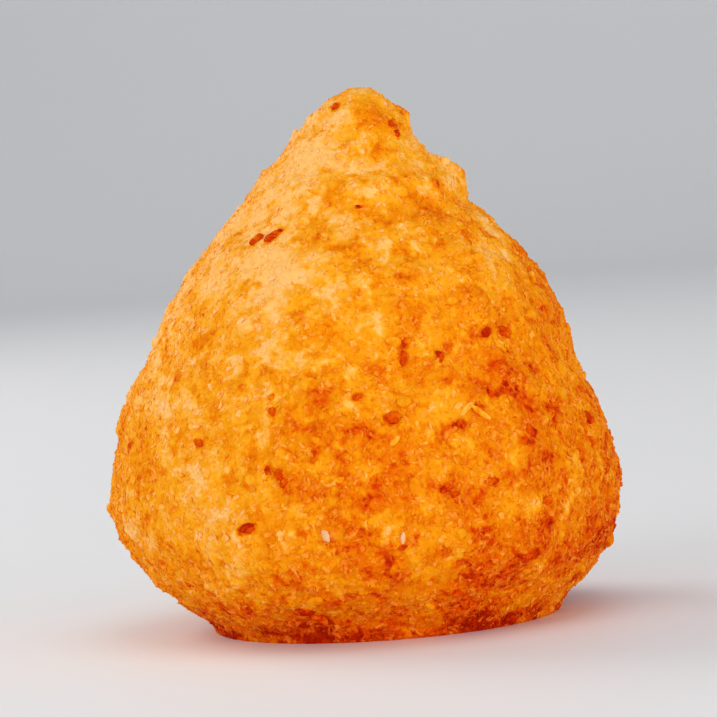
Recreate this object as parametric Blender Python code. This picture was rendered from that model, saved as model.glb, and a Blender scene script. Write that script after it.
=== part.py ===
"""Coxinha: a breaded and deep-fried drop of dough, modelled as one solid in metres with +Z up.

The dough stands on a flat foot and rises from a wide belly to a blunt tip that leans a little to +X.
Its outline is turned into a drop, meshed evenly, and given the dents of the hands that shaped it and the
relief of its crumb coat. The largest crumbs are then fused on, so the coxinha is one closed solid.
The origin is the middle of the foot, and the side seen first faces -Y.
"""

import math
import random

import bmesh
import bpy
from mathutils import Matrix, Vector, noise

MM = 0.001

HEIGHT = 64.2 * MM
BELLY_RADIUS = 30.7 * MM

# The outline from the edge of the foot up to the tip, as (height, radius, lean towards +X).
# Heights are shares of HEIGHT, radii and leans are shares of BELLY_RADIUS.
OUTLINE = (
    (0.000, 0.676, 0.022),
    (0.022, 0.712, 0.022),
    (0.066, 0.814, 0.020),
    (0.134, 0.934, 0.000),
    (0.225, 0.999, -0.027),
    (0.320, 0.986, -0.035),
    (0.410, 0.934, -0.043),
    (0.505, 0.845, -0.026),
    (0.600, 0.762, 0.003),
    (0.685, 0.645, 0.000),
    (0.770, 0.472, -0.011),
    (0.820, 0.414, 0.004),
    (0.862, 0.322, 0.000),
    (0.916, 0.240, 0.022),
    (0.952, 0.182, 0.034),
    (0.990, 0.090, 0.048),
    (1.000, 0.000, 0.048),
)
STEPS_PER_SPAN = 6
TURN_STEPS = 120
MERGE_DISTANCE = 0.001 * MM

# Edge of the even cells that the turned drop is meshed with, before it gets its relief.
CELL = 2.05 * MM

# Relief of the surface: the size of its bumps, and how far they rise and sink.
DENT_SIZE = 17.0 * MM
DENT_DEPTH = 0.60 * MM
CRAG_SIZE = 6.0 * MM
CRAG_OFFSET = Vector((7.0, 3.0, 5.0))
CRAG_DEPTH = 0.45 * MM
GRAIN_SIZE = 3.4 * MM
GRAIN_DEPTH = 0.75 * MM
GRAIN_MIDDLE = 0.45

# The foot is pressed flat up to FOOT_BAND, and the relief grows to its full depth at RELIEF_FULL.
FOOT_BAND = 0.35 * MM
RELIEF_FULL = 3.0 * MM

# Clots of crumbs that stand out of the outline: (height share, turn from +X in degrees, radius, rise).
CLOTS = (
    (0.826, 0.0, 3.8 * MM, 1.3 * MM),
    (0.945, 5.0, 1.8 * MM, 0.5 * MM),
    (0.640, 2.0, 2.2 * MM, 0.5 * MM),
    (0.400, 176.0, 3.2 * MM, 0.4 * MM),
    (0.140, 172.0, 3.6 * MM, 0.3 * MM),
    (0.760, 118.0, 3.0 * MM, 0.6 * MM),
    (0.520, 75.0, 3.8 * MM, 0.6 * MM),
    (0.300, 232.0, 3.6 * MM, 0.4 * MM),
)

CRUMB_COUNT = 130
CRUMB_LENGTH = (1.1 * MM, 2.4 * MM)
CRUMB_WIDTH_SHARE = (0.55, 0.85)
CRUMB_THICKNESS_SHARE = (0.35, 0.55)
CRUMB_JITTER = 0.20
CRUMB_TILT = math.radians(24.0)
CRUMB_SINK_SHARE = 0.10
CRUMB_LOWEST = 2.4 * MM
GOLDEN_TURN = math.pi * (3.0 - math.sqrt(5.0))
GOLDEN_JITTER = 0.12
SEED = 19

CRUST_COLOUR = (0.86, 0.33, 0.035, 1.0)
CRUST_ROUGHNESS = 0.62


def clear_scene():
    """Removes every object, so that only the coxinha is left in the file."""
    for item in list(bpy.data.objects):
        bpy.data.objects.remove(item, do_unlink=True)


def smooth_step(value):
    """Eases a share from 0 to 1."""
    value = min(1.0, max(0.0, value))
    return value * value * (3.0 - 2.0 * value)


def spline_point(before, start, end, after, t):
    """A point on the smooth curve from start to end, whose slopes come from their neighbours."""
    slope_start = (end - before) / 2
    slope_end = (after - start) / 2
    return (
        start * (2 * t**3 - 3 * t**2 + 1)
        + slope_start * (t**3 - 2 * t**2 + t)
        + end * (3 * t**2 - 2 * t**3)
        + slope_end * (t**3 - t**2)
    )


def make_outline():
    """The line from the middle of the foot, over the belly, to the tip, as (radius, lean, height) vectors."""
    stations = [Vector((r * BELLY_RADIUS, lean * BELLY_RADIUS, h * HEIGHT)) for h, r, lean in OUTLINE]
    foot_edge, heel = stations[0], stations[1]
    below_the_foot = foot_edge * 2 - heel
    past_the_tip = stations[-2] * Vector((-1.0, 1.0, 1.0))
    chain = [below_the_foot, *stations, past_the_tip]
    line = [Vector((0.0, foot_edge.y, 0.0)), foot_edge]
    for before, start, end, after in zip(chain, chain[1:], chain[2:], chain[3:]):
        for step in range(1, STEPS_PER_SPAN + 1):
            line.append(spline_point(before, start, end, after, step / STEPS_PER_SPAN))
    return line


def mesh_object(name, bm):
    """Makes an object of a bmesh and puts it in the scene."""
    mesh = bpy.data.meshes.new(name)
    bm.to_mesh(mesh)
    bm.free()
    item = bpy.data.objects.new(name, mesh)
    bpy.context.scene.collection.objects.link(item)
    return item


def apply_modifiers(item):
    """Gives an object the mesh that its modifiers make, and removes them."""
    graph = bpy.context.evaluated_depsgraph_get()
    mesh = bpy.data.meshes.new_from_object(item.evaluated_get(graph))
    item.modifiers.clear()
    item.data = mesh


def turn_drop(line):
    """The smooth drop: the outline spun about +Z, then leaned, then meshed with even cells."""
    lean_at = {}
    bm = bmesh.new()
    verts = []
    for point in line:
        verts.append(bm.verts.new((point.x, 0.0, point.z)))
        lean_at[round(point.z / MM, 4)] = point.y
    edges = [bm.edges.new(pair) for pair in zip(verts, verts[1:])]
    bmesh.ops.spin(
        bm,
        geom=verts + edges,
        axis=(0.0, 0.0, 1.0),
        cent=(0.0, 0.0, 0.0),
        angle=math.tau,
        steps=TURN_STEPS,
        use_merge=True,
    )
    bmesh.ops.remove_doubles(bm, verts=bm.verts, dist=MERGE_DISTANCE)
    for vertex in bm.verts:
        vertex.co.x += lean_at[round(vertex.co.z / MM, 4)]
    bmesh.ops.recalc_face_normals(bm, faces=bm.faces)
    drop = mesh_object("coxinha", bm)
    even = drop.modifiers.new("even_cells", "REMESH")
    even.mode = "VOXEL"
    even.voxel_size = CELL
    apply_modifiers(drop)
    return drop


def clot_rise(point):
    """How far the clots of crumbs lift the skin at a point."""
    lift = 0.0
    heading = math.atan2(point.y, point.x)
    for height, turn, radius, rise in CLOTS:
        up = point.z - height * HEIGHT
        angle = math.remainder(heading - math.radians(turn), math.tau)
        across = angle * math.hypot(point.x, point.y)
        lift += rise * smooth_step(1.0 - math.hypot(up, across) / radius)
    return lift


def relief(point):
    """How far the skin stands out at a point: dents of the hands, crags and grain of the coat, and clots."""
    dents = noise.noise(point / DENT_SIZE) * DENT_DEPTH
    crags = noise.noise(point / CRAG_SIZE + CRAG_OFFSET) * CRAG_DEPTH
    grain = (GRAIN_MIDDLE - noise.voronoi(point / GRAIN_SIZE)[0][0]) * GRAIN_DEPTH
    return (dents + crags + grain + clot_rise(point)) * smooth_step(point.z / RELIEF_FULL)


def roughen(drop):
    """Moves the skin out and in by its relief, and presses the foot flat."""
    mesh = drop.data
    moves = [vertex.normal * relief(vertex.co) for vertex in mesh.vertices]
    for vertex, move in zip(mesh.vertices, moves):
        vertex.co += move
        if vertex.co.z < FOOT_BAND:
            vertex.co.z = 0.0
    mesh.update()


def spread_evenly(line, count):
    """Points spread evenly over the smooth skin: a golden spiral from foot to tip, with a little chance."""
    draw = random.Random(SEED)
    areas = [0.0]
    for a, b in zip(line, line[1:]):
        areas.append(areas[-1] + math.hypot(b.x - a.x, b.z - a.z) * (a.x + b.x) * math.pi)
    ring = 0
    for i in range(count):
        wanted = areas[-1] * (i + 0.5) / count
        while areas[ring + 1] < wanted:
            ring += 1
        share = (wanted - areas[ring]) / (areas[ring + 1] - areas[ring])
        at = line[ring].lerp(line[ring + 1], share)
        turn = i * GOLDEN_TURN + draw.uniform(-GOLDEN_JITTER, GOLDEN_JITTER)
        yield Vector((at.x * math.cos(turn) + at.y, at.x * math.sin(turn), at.z))


def make_crumb(name, draw, point, outward):
    """One large crumb: an angular chip that lies on the skin at a slight tilt and is sunk into it."""
    length = draw.uniform(*CRUMB_LENGTH)
    width = length * draw.uniform(*CRUMB_WIDTH_SHARE)
    thickness = length * draw.uniform(*CRUMB_THICKNESS_SHARE)
    bm = bmesh.new()
    bmesh.ops.create_icosphere(bm, subdivisions=1, radius=0.5)
    for vertex in bm.verts:
        vertex.co *= 1.0 + draw.uniform(-CRUMB_JITTER, CRUMB_JITTER)
    bmesh.ops.scale(bm, vec=(length, width, thickness), verts=bm.verts)
    tilt = Matrix.Rotation(draw.uniform(-CRUMB_TILT, CRUMB_TILT), 4, "Y")
    spin = Matrix.Rotation(draw.uniform(0.0, math.tau), 4, "Z")
    lie = outward.to_track_quat("Z", "Y").to_matrix().to_4x4()
    centre = Matrix.Translation(point - outward * thickness * CRUMB_SINK_SHARE)
    bmesh.ops.transform(bm, matrix=centre @ lie @ spin @ tilt, verts=bm.verts)
    return mesh_object(name, bm)


def make_crumbs(drop, line):
    """The largest crumbs of the coat in a collection of their own."""
    draw = random.Random(SEED)
    crumbs = bpy.data.collections.new("crumbs")
    for i, near in enumerate(spread_evenly(line, CRUMB_COUNT)):
        _, point, outward, _ = drop.closest_point_on_mesh(near)
        if point.z > CRUMB_LOWEST:
            crumbs.objects.link(make_crumb(f"crumb_{i}", draw, point, outward))
    return crumbs


def fuse(drop, crumbs):
    """Joins the crumbs to the drop with one Boolean union, then removes them."""
    union = drop.modifiers.new("fused_crumbs", "BOOLEAN")
    union.operation = "UNION"
    union.operand_type = "COLLECTION"
    union.collection = crumbs
    union.solver = "EXACT"
    apply_modifiers(drop)
    for crumb in list(crumbs.objects):
        bpy.data.objects.remove(crumb, do_unlink=True)
    bpy.data.collections.remove(crumbs)


def crust_material():
    """Fried crumb coat, golden orange and dull."""
    material = bpy.data.materials.new("fried_crust")
    material.use_nodes = True
    shader = material.node_tree.nodes["Principled BSDF"]
    shader.inputs["Base Color"].default_value = CRUST_COLOUR
    shader.inputs["Roughness"].default_value = CRUST_ROUGHNESS
    shader.inputs["Metallic"].default_value = 0.0
    return material


def main():
    """Builds the coxinha as the scene's only object."""
    clear_scene()
    line = make_outline()
    coxinha = turn_drop(line)
    roughen(coxinha)
    fuse(coxinha, make_crumbs(coxinha, line))
    coxinha.data.materials.clear()
    coxinha.data.materials.append(crust_material())


main()
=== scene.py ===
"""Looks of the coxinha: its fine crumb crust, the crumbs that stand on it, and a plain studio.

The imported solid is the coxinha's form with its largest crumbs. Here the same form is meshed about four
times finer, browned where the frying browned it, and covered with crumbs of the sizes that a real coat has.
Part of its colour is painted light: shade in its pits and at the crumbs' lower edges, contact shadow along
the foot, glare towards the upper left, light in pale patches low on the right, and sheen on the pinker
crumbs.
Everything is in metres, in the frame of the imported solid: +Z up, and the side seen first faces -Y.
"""

import logging
import math
import random
from collections.abc import Iterator
from dataclasses import dataclass
from enum import Enum

import bmesh
import bpy
import numpy as np
from mathutils import Matrix, Vector, noise


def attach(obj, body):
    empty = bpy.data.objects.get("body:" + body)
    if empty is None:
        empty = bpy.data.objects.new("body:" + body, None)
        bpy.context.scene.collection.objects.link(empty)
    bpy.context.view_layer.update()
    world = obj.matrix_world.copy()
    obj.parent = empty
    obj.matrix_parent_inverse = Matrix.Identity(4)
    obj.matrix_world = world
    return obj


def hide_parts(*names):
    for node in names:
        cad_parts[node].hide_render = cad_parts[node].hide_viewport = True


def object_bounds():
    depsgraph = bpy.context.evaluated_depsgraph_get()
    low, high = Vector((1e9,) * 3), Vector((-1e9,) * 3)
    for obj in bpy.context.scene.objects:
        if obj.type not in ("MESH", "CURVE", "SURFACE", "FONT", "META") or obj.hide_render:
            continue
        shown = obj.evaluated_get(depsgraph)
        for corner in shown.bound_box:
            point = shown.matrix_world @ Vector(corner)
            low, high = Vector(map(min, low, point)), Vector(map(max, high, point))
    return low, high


MM = 0.001
IMAGE_SIDE = 717
SENSOR_WIDTH = 36.0
NODE = "coxinha"
BODY = "root"
# The fry value picks the colour from pale to burnt; besides the frying it carries painted shade, shadow,
# glare and light.
FRY_ATTRIBUTE = "fry"
# The grain value is each crumb's own shade, with painted shade towards its lower edge.
GRAIN_ATTRIBUTE = "grain"

log = logging.getLogger("coxinha")

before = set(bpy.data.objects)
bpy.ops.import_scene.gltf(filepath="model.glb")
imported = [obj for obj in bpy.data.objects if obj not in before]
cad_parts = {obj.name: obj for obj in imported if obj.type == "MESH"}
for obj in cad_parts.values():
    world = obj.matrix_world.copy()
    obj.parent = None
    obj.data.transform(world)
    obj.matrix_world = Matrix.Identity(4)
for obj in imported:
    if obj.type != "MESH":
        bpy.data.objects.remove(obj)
cad_low, cad_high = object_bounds()


def smooth_step(value: float) -> float:
    """Eases a share from 0 to 1.

    Args:
        value: The share, which may lie outside 0 to 1.

    Returns:
        The eased share.
    """
    value = min(1.0, max(0.0, value))
    return value * value * (3.0 - 2.0 * value)


def put_in_scene(name: str, data: bpy.types.ID) -> bpy.types.Object:
    """Makes an object at the origin and puts it in the scene.

    Args:
        name: Name of the object.
        data: Its mesh, camera or light.

    Returns:
        The object.
    """
    item = bpy.data.objects.new(name, data)
    bpy.context.scene.collection.objects.link(item)
    return item


def mesh_object(name: str, bm: bmesh.types.BMesh, smooth: bool = False) -> bpy.types.Object:
    """Makes an object of a bmesh, and frees the bmesh.

    Args:
        name: Name of the object and its mesh.
        bm: The shape.
        smooth: Whether its faces are shaded smooth.

    Returns:
        The new object, in the scene.
    """
    mesh = bpy.data.meshes.new(name)
    bm.to_mesh(mesh)
    bm.free()
    mesh.polygons.foreach_set("use_smooth", [smooth] * len(mesh.polygons))
    return put_in_scene(name, mesh)


def pour(part: bmesh.types.BMesh, whole: bmesh.types.BMesh) -> None:
    """Adds a bmesh to another, and frees it.

    Args:
        part: What is added.
        whole: What it is added to.
    """
    mesh = bpy.data.meshes.new("part")
    part.to_mesh(mesh)
    part.free()
    whole.from_mesh(mesh)
    bpy.data.meshes.remove(mesh)


def roughen(bm: bmesh.types.BMesh, size: float, depth: float) -> None:
    """Moves the points of a bmesh in and out along their normals.

    Args:
        bm: The shape.
        size: Size of the bumps, in metres.
        depth: How far the points move at most, in metres.
    """
    bm.normal_update()
    for vertex in bm.verts:
        vertex.co += vertex.normal * noise.noise(vertex.co / size) * depth


def apply_modifiers(item: bpy.types.Object) -> None:
    """Gives an object the mesh that its modifiers make, and removes them.

    Args:
        item: The object.
    """
    graph = bpy.context.evaluated_depsgraph_get()
    mesh = bpy.data.meshes.new_from_object(item.evaluated_get(graph))
    item.modifiers.clear()
    item.data = mesh


def read_rows(
    items: bpy.types.bpy_prop_collection, name: str, width: int, kind: type = np.float32
) -> np.ndarray:
    """Reads a property of every item of a collection.

    Args:
        items: The collection, such as a mesh's vertices.
        name: Name of the property.
        width: How many numbers each item has.
        kind: What the numbers are read as.

    Returns:
        A row for each item, or just a number where an item has only one.
    """
    values = np.empty(len(items) * width, kind)
    items.foreach_get(name, values)
    return values if width == 1 else values.reshape(-1, width)


def store_tones(mesh: bpy.types.Mesh, fry: np.ndarray, own: np.ndarray | None = None) -> None:
    """Keeps the tone of each point of a mesh for the material to read.

    Args:
        mesh: The mesh.
        fry: The fry value at each vertex.
        own: The crumb's own shade at each vertex, with the painted shade of its rim, which is added to it,
            if there is one.
    """
    own = np.zeros(len(fry)) if own is None else own
    for name, values in ((FRY_ATTRIBUTE, fry), (GRAIN_ATTRIBUTE, own)):
        layer = mesh.attributes.new(name, "FLOAT", "POINT")
        layer.data.foreach_set("value", values.astype(np.float32))


def keep_inside(mesh: bpy.types.Mesh) -> None:
    """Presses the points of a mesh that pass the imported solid's box back to its sides.

    Args:
        mesh: The mesh.
    """
    pressed = np.clip(read_rows(mesh.vertices, "co", 3), np.array(cad_low), np.array(cad_high))
    mesh.vertices.foreach_set("co", pressed.astype(np.float32).reshape(-1))
    mesh.update()


def dress(item: bpy.types.Object, material: bpy.types.Material) -> None:
    """Gives a finished piece its material and its body.

    Args:
        item: The piece.
        material: Its finish.
    """
    item.data.materials.clear()
    item.data.materials.append(material)
    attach(item, BODY)


@dataclass(frozen=True)
class Clot:
    """A clot of crumbs that stands out of the outline.

    Attributes:
        height: Share of the coxinha's height.
        turn: Degrees from +X, about +Z.
        radius: How far it reaches, in metres.
        rise: How far it stands out, in metres.
    """

    height: float
    turn: float
    radius: float
    rise: float


@dataclass(frozen=True)
class DropForm:
    """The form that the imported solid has: a leaning drop with its relief.

    A row of the outline is a height, as a share of the whole height, and then the radius and the lean
    there, as shares of the belly's radius.
    """

    height: float = 64.2 * MM
    belly_radius: float = 30.7 * MM
    outline: tuple[tuple[float, float, float], ...] = (
        (0.000, 0.676, 0.022),
        (0.022, 0.712, 0.022),
        (0.066, 0.814, 0.020),
        (0.134, 0.934, 0.000),
        (0.225, 0.999, -0.027),
        (0.320, 0.986, -0.035),
        (0.410, 0.934, -0.043),
        (0.505, 0.845, -0.026),
        (0.600, 0.762, 0.003),
        (0.685, 0.645, 0.000),
        (0.770, 0.472, -0.011),
        (0.820, 0.414, 0.004),
        (0.862, 0.322, 0.000),
        (0.916, 0.240, 0.022),
        (0.952, 0.182, 0.034),
        (0.990, 0.090, 0.048),
        (1.000, 0.000, 0.048),
    )
    steps_per_span: int = 6
    turn_steps: int = 120
    merge_distance: float = 0.001 * MM
    dent_size: float = 17.0 * MM
    dent_depth: float = 0.60 * MM
    crag_size: float = 6.0 * MM
    crag_depth: float = 0.45 * MM
    crag_offset: tuple[float, float, float] = (7.0, 3.0, 5.0)
    grain_size: float = 3.4 * MM
    grain_depth: float = 0.75 * MM
    grain_middle: float = 0.45
    foot_band: float = 0.35 * MM
    relief_full: float = 3.0 * MM
    clots: tuple[Clot, ...] = (
        Clot(0.826, 0.0, 3.8 * MM, 1.3 * MM),
        Clot(0.945, 5.0, 1.8 * MM, 0.5 * MM),
        Clot(0.640, 2.0, 2.2 * MM, 0.5 * MM),
        Clot(0.400, 176.0, 3.2 * MM, 0.4 * MM),
        Clot(0.140, 172.0, 3.6 * MM, 0.3 * MM),
        Clot(0.760, 118.0, 3.0 * MM, 0.6 * MM),
        Clot(0.520, 75.0, 3.8 * MM, 0.6 * MM),
        Clot(0.300, 232.0, 3.6 * MM, 0.4 * MM),
    )

    def line(self) -> list[Vector]:
        """Works out the outline from the middle of the foot, over the belly, to the tip.

        Returns:
            Its points as (radius, lean, height) vectors.
        """
        stations = [
            Vector((radius * self.belly_radius, lean * self.belly_radius, height * self.height))
            for height, radius, lean in self.outline
        ]
        foot_edge, heel = stations[0], stations[1]
        below_the_foot = foot_edge * 2 - heel
        past_the_tip = stations[-2] * Vector((-1.0, 1.0, 1.0))
        chain = [below_the_foot, *stations, past_the_tip]
        line = [Vector((0.0, foot_edge.y, 0.0)), foot_edge]
        for before, start, end, after in zip(chain, chain[1:], chain[2:], chain[3:]):
            for step in range(1, self.steps_per_span + 1):
                line.append(self._spline_point(before, start, end, after, step / self.steps_per_span))
        return line

    @staticmethod
    def _spline_point(before: Vector, start: Vector, end: Vector, after: Vector, t: float) -> Vector:
        """Finds a point on the smooth curve from start to end, whose slopes come from their neighbours.

        Args:
            before: The station before the start.
            start: Where the curve starts.
            end: Where it ends.
            after: The station after the end.
            t: How far along it the point is, from 0 to 1.

        Returns:
            The point.
        """
        slope_start = (end - before) / 2
        slope_end = (after - start) / 2
        return (
            start * (2 * t**3 - 3 * t**2 + 1)
            + slope_start * (t**3 - 2 * t**2 + t)
            + end * (3 * t**2 - 2 * t**3)
            + slope_end * (t**3 - t**2)
        )

    def turned(self, name: str, cell: float) -> bpy.types.Object:
        """Turns the outline into a smooth drop and meshes it with even cells.

        Args:
            name: Name of the object.
            cell: Edge of the cells.

        Returns:
            The drop, which leans as the outline says and has no relief yet.
        """
        lean_at = {}
        bm = bmesh.new()
        verts = []
        for point in self.line():
            verts.append(bm.verts.new((point.x, 0.0, point.z)))
            lean_at[round(point.z / MM, 4)] = point.y
        edges = [bm.edges.new(pair) for pair in zip(verts, verts[1:])]
        bmesh.ops.spin(
            bm,
            geom=verts + edges,
            axis=(0.0, 0.0, 1.0),
            cent=(0.0, 0.0, 0.0),
            angle=math.tau,
            steps=self.turn_steps,
            use_merge=True,
        )
        bmesh.ops.remove_doubles(bm, verts=bm.verts, dist=self.merge_distance)
        for vertex in bm.verts:
            vertex.co.x += lean_at[round(vertex.co.z / MM, 4)]
        bmesh.ops.recalc_face_normals(bm, faces=bm.faces)
        drop = mesh_object(name, bm, smooth=True)
        even = drop.modifiers.new("even_cells", "REMESH")
        even.mode = "VOXEL"
        even.voxel_size = cell
        even.use_smooth_shade = True
        apply_modifiers(drop)
        return drop

    def clot_rise(self, point: Vector) -> float:
        """Finds how far the clots of crumbs lift the skin at a point.

        Args:
            point: A point of the smooth drop.

        Returns:
            The lift in metres.
        """
        lift = 0.0
        heading = math.atan2(point.y, point.x)
        for clot in self.clots:
            up = point.z - clot.height * self.height
            if abs(up) < clot.radius:
                angle = math.remainder(heading - math.radians(clot.turn), math.tau)
                across = angle * math.hypot(point.x, point.y)
                lift += clot.rise * smooth_step(1.0 - math.hypot(up, across) / clot.radius)
        return lift

    def relief(self, point: Vector) -> float:
        """Finds how far the skin stands out at a point: dents of the hands, crags, grain and clots.

        Args:
            point: A point of the smooth drop.

        Returns:
            The distance along the skin's normal, in metres.
        """
        dents = noise.noise(point / self.dent_size) * self.dent_depth
        crags = noise.noise(point / self.crag_size + Vector(self.crag_offset)) * self.crag_depth
        grain = (self.grain_middle - noise.voronoi(point / self.grain_size)[0][0]) * self.grain_depth
        rise = dents + crags + grain + self.clot_rise(point)
        return rise * smooth_step(point.z / self.relief_full)


@dataclass(frozen=True)
class Patch:
    """A patch of the crust that the frying browned more, or less, than the rest; the pale ones low on the
    right are partly painted light.

    Attributes:
        x: Its middle, to the right of the coxinha's middle as seen from the front, in metres.
        z: Its middle's height, in metres.
        radius: How far it reaches, in metres.
        browning: What it adds to the fry value at its middle.
    """

    x: float
    z: float
    radius: float
    browning: float


@dataclass(frozen=True)
class Frying:
    """How far the frying browned the crust at each place, with some painted light, as a fry value from 0,
    pale, to 1, burnt.
    """

    middle: float = 0.36
    # Paler on the left and towards the top, darker on the right: partly the frying, partly painted glare of
    # the light from the upper left.
    side_shift: float = 0.12
    side_reach: float = 26.0 * MM
    foot_browning: float = 0.30
    foot_reach: float = 18.0 * MM
    # Painted contact shadow: the fry value rises along the foot's edge, where the crust meets the floor.
    lip_painted_shadow: float = 0.16
    lip_reach: float = 3.0 * MM
    top_paleness: float = 0.18
    top_start: float = 24.0 * MM
    top_reach: float = 26.0 * MM
    cloud_size: float = 11.0 * MM
    cloud_depth: float = 0.17
    mottle_size: float = 3.6 * MM
    mottle_depth: float = 0.24
    offset: tuple[float, float, float] = (3.1, 11.7, 6.4)
    patches: tuple[Patch, ...] = (
        # Partly painted light: these pale patches low on the right brighten the foot where the lamps light
        # it too little.
        Patch(5.0 * MM, 5.0 * MM, 8.0 * MM, -0.14),
        Patch(23.0 * MM, 2.0 * MM, 9.0 * MM, -0.36),
        Patch(18.0 * MM, 1.5 * MM, 5.0 * MM, -0.14),
        Patch(18.0 * MM, 14.5 * MM, 5.0 * MM, 0.10),
        Patch(-15.0 * MM, 15.0 * MM, 9.0 * MM, -0.08),
        Patch(-17.0 * MM, 7.0 * MM, 8.0 * MM, 0.11),
        Patch(7.0 * MM, 48.0 * MM, 9.0 * MM, 0.14),
        Patch(-5.0 * MM, 57.0 * MM, 7.0 * MM, -0.14),
        Patch(4.5 * MM, 60.0 * MM, 5.0 * MM, 0.20),
        Patch(6.0 * MM, 12.0 * MM, 7.0 * MM, -0.22),
        Patch(-7.0 * MM, 2.0 * MM, 6.0 * MM, 0.22),
        Patch(-2.0 * MM, 16.0 * MM, 15.0 * MM, 0.24),
        Patch(16.0 * MM, 33.0 * MM, 13.0 * MM, 0.20),
        Patch(-26.0 * MM, 20.0 * MM, 11.0 * MM, 0.06),
        Patch(28.0 * MM, 26.0 * MM, 5.0 * MM, 0.16),
        Patch(4.5 * MM, 33.0 * MM, 4.0 * MM, 0.14),
        Patch(-9.5 * MM, 19.0 * MM, 4.0 * MM, 0.12),
        Patch(-15.0 * MM, 22.0 * MM, 7.0 * MM, -0.10),
        Patch(-11.0 * MM, 46.0 * MM, 9.0 * MM, -0.10),
    )

    def at(self, point: Vector) -> float:
        """Finds the fry value at a point of the crust.

        Args:
            point: The point.

        Returns:
            The value, mostly between 0 and 1.
        """
        side = smooth_step(0.5 + 0.5 * point.x / self.side_reach) * 2.0 - 1.0
        foot = 1.0 - smooth_step(point.z / self.foot_reach)
        top = smooth_step((point.z - self.top_start) / self.top_reach)
        lip = 1.0 - smooth_step(point.z / self.lip_reach)
        # The side and top terms are partly painted glare of the light from the upper left.
        value = self.middle + self.side_shift * side - self.top_paleness * top
        # The lip term is painted contact shadow along the foot's edge.
        value += self.foot_browning * foot + self.lip_painted_shadow * lip
        offset = Vector(self.offset)
        value += noise.noise(point / self.cloud_size + offset) * self.cloud_depth
        value += noise.noise(point / self.mottle_size + offset) * self.mottle_depth
        for patch in self.patches:
            reach = math.hypot(point.x - patch.x, point.z - patch.z) / patch.radius
            if point.y < 0.0 and reach < 1.0:
                value += patch.browning * smooth_step(1.0 - reach)
        return value


class Shade(Enum):
    """Shades of fried crumbs: a fry value, and its colour in linear red, green and blue."""

    PEACH = (0.02, (0.95, 0.53, 0.15))
    YELLOW = (0.24, (0.92, 0.39, 0.014))
    GOLDEN = (0.42, (0.86, 0.290, 0.003))
    ORANGE = (0.62, (0.78, 0.178, 0.001))
    RUSSET = (0.82, (0.70, 0.067, 0.0005))
    BURNT = (1.00, (0.44, 0.014, 0.0005))


class DryAndSheenShade(Enum):
    """The same for crumbs that took up less oil, a little duller and pinker than the rest, partly painted
    sheen.
    """

    PEACH = (0.02, (0.95, 0.54, 0.21))
    APRICOT = (0.24, (0.93, 0.40, 0.050))
    HONEY = (0.42, (0.90, 0.29, 0.020))
    ORANGE = (0.62, (0.82, 0.19, 0.012))
    RUSSET = (0.82, (0.68, 0.080, 0.005))
    BURNT = (1.00, (0.42, 0.022, 0.001))


class GrainShade(Enum):
    """The same for bare grains, which the frying hardly coloured."""

    CREAM = (0.0, (0.84, 0.54, 0.30))
    BUTTER = (0.3, (0.82, 0.46, 0.22))
    STRAW = (0.7, (0.82, 0.38, 0.11))


NodeInput = float | tuple[float, ...] | bpy.types.NodeSocket


@dataclass(frozen=True)
class Bench:
    """A material in the making: its nodes, and the Object coordinates that its patterns read."""

    tree: bpy.types.NodeTree
    place: bpy.types.NodeSocket

    def node(self, kind: str, inputs: dict[str | int, NodeInput], output: str) -> bpy.types.NodeSocket:
        """Adds a node and fills in its inputs.

        Args:
            kind: The kind of node.
            inputs: The value of each input that isn't left as it is, or the socket that feeds it.
            output: Name of the output that is wanted.

        Returns:
            The output.
        """
        node = self.tree.nodes.new(kind)
        for name, value in inputs.items():
            if isinstance(value, bpy.types.NodeSocket):
                self.tree.links.new(value, node.inputs[name])
            else:
                node.inputs[name].default_value = value
        return node.outputs[output]

    def noise(
        self, size: float, detail: float, place: bpy.types.NodeSocket | None = None,
        roughness: float = 0.5, distortion: float = 0.0,
    ) -> bpy.types.NodeSocket:
        """Adds a noise.

        Args:
            size: Size of its swells, in metres.
            detail: How many finer ones lie on them.
            place: Its coordinates, if they aren't the Object coordinates.
            roughness: How strong the finer ones are.
            distortion: How twisted it is.

        Returns:
            The output, mostly between 0.3 and 0.7.
        """
        inputs = {
            "Vector": place or self.place, "Scale": 1.0 / size, "Detail": detail,
            "Roughness": roughness, "Distortion": distortion,
        }
        return self.node("ShaderNodeTexNoise", inputs, "Fac")

    def attribute(self, name: str) -> bpy.types.NodeSocket:
        """Reads the value that each point of a mesh keeps under a name.

        Args:
            name: The name.

        Returns:
            The socket with the value.
        """
        kept = self.node("ShaderNodeAttribute", {}, "Fac")
        kept.node.attribute_name = name
        return kept


@dataclass(frozen=True)
class Clusters:
    """Ragged clusters that the frying browned a little more, or less, than the rest.

    Attributes:
        size: Their size, in metres.
        depth: What a full cluster adds to the fry value.
        start: The noise at which a cluster starts.
        full: The noise at which it is full.
        offset: Shifts them away from those of another size, in metres.
        detail: How finely they are broken up.
        roughness: How strongly they are broken up.
        distortion: How twisted they are.
    """

    size: float
    depth: float
    start: float
    full: float
    offset: float
    detail: float = 3.0
    roughness: float = 0.55
    distortion: float = 0.4

    def rise(self, bench: Bench) -> bpy.types.NodeSocket:
        """Makes the clusters out of noise.

        Args:
            bench: The material in the making.

        Returns:
            The socket with what they add.
        """
        shift = {"Vector": bench.place, "Location": (self.offset,) * 3}
        place = bench.node("ShaderNodeMapping", shift, "Vector")
        ragged = bench.noise(self.size, self.detail, place, self.roughness, self.distortion)
        edge = {"Value": ragged, "From Min": self.start, "From Max": self.full, "To Max": self.depth}
        swing = bench.node("ShaderNodeMapRange", edge, "Result")
        swing.node.interpolation_type = "SMOOTHSTEP"
        return swing


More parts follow.
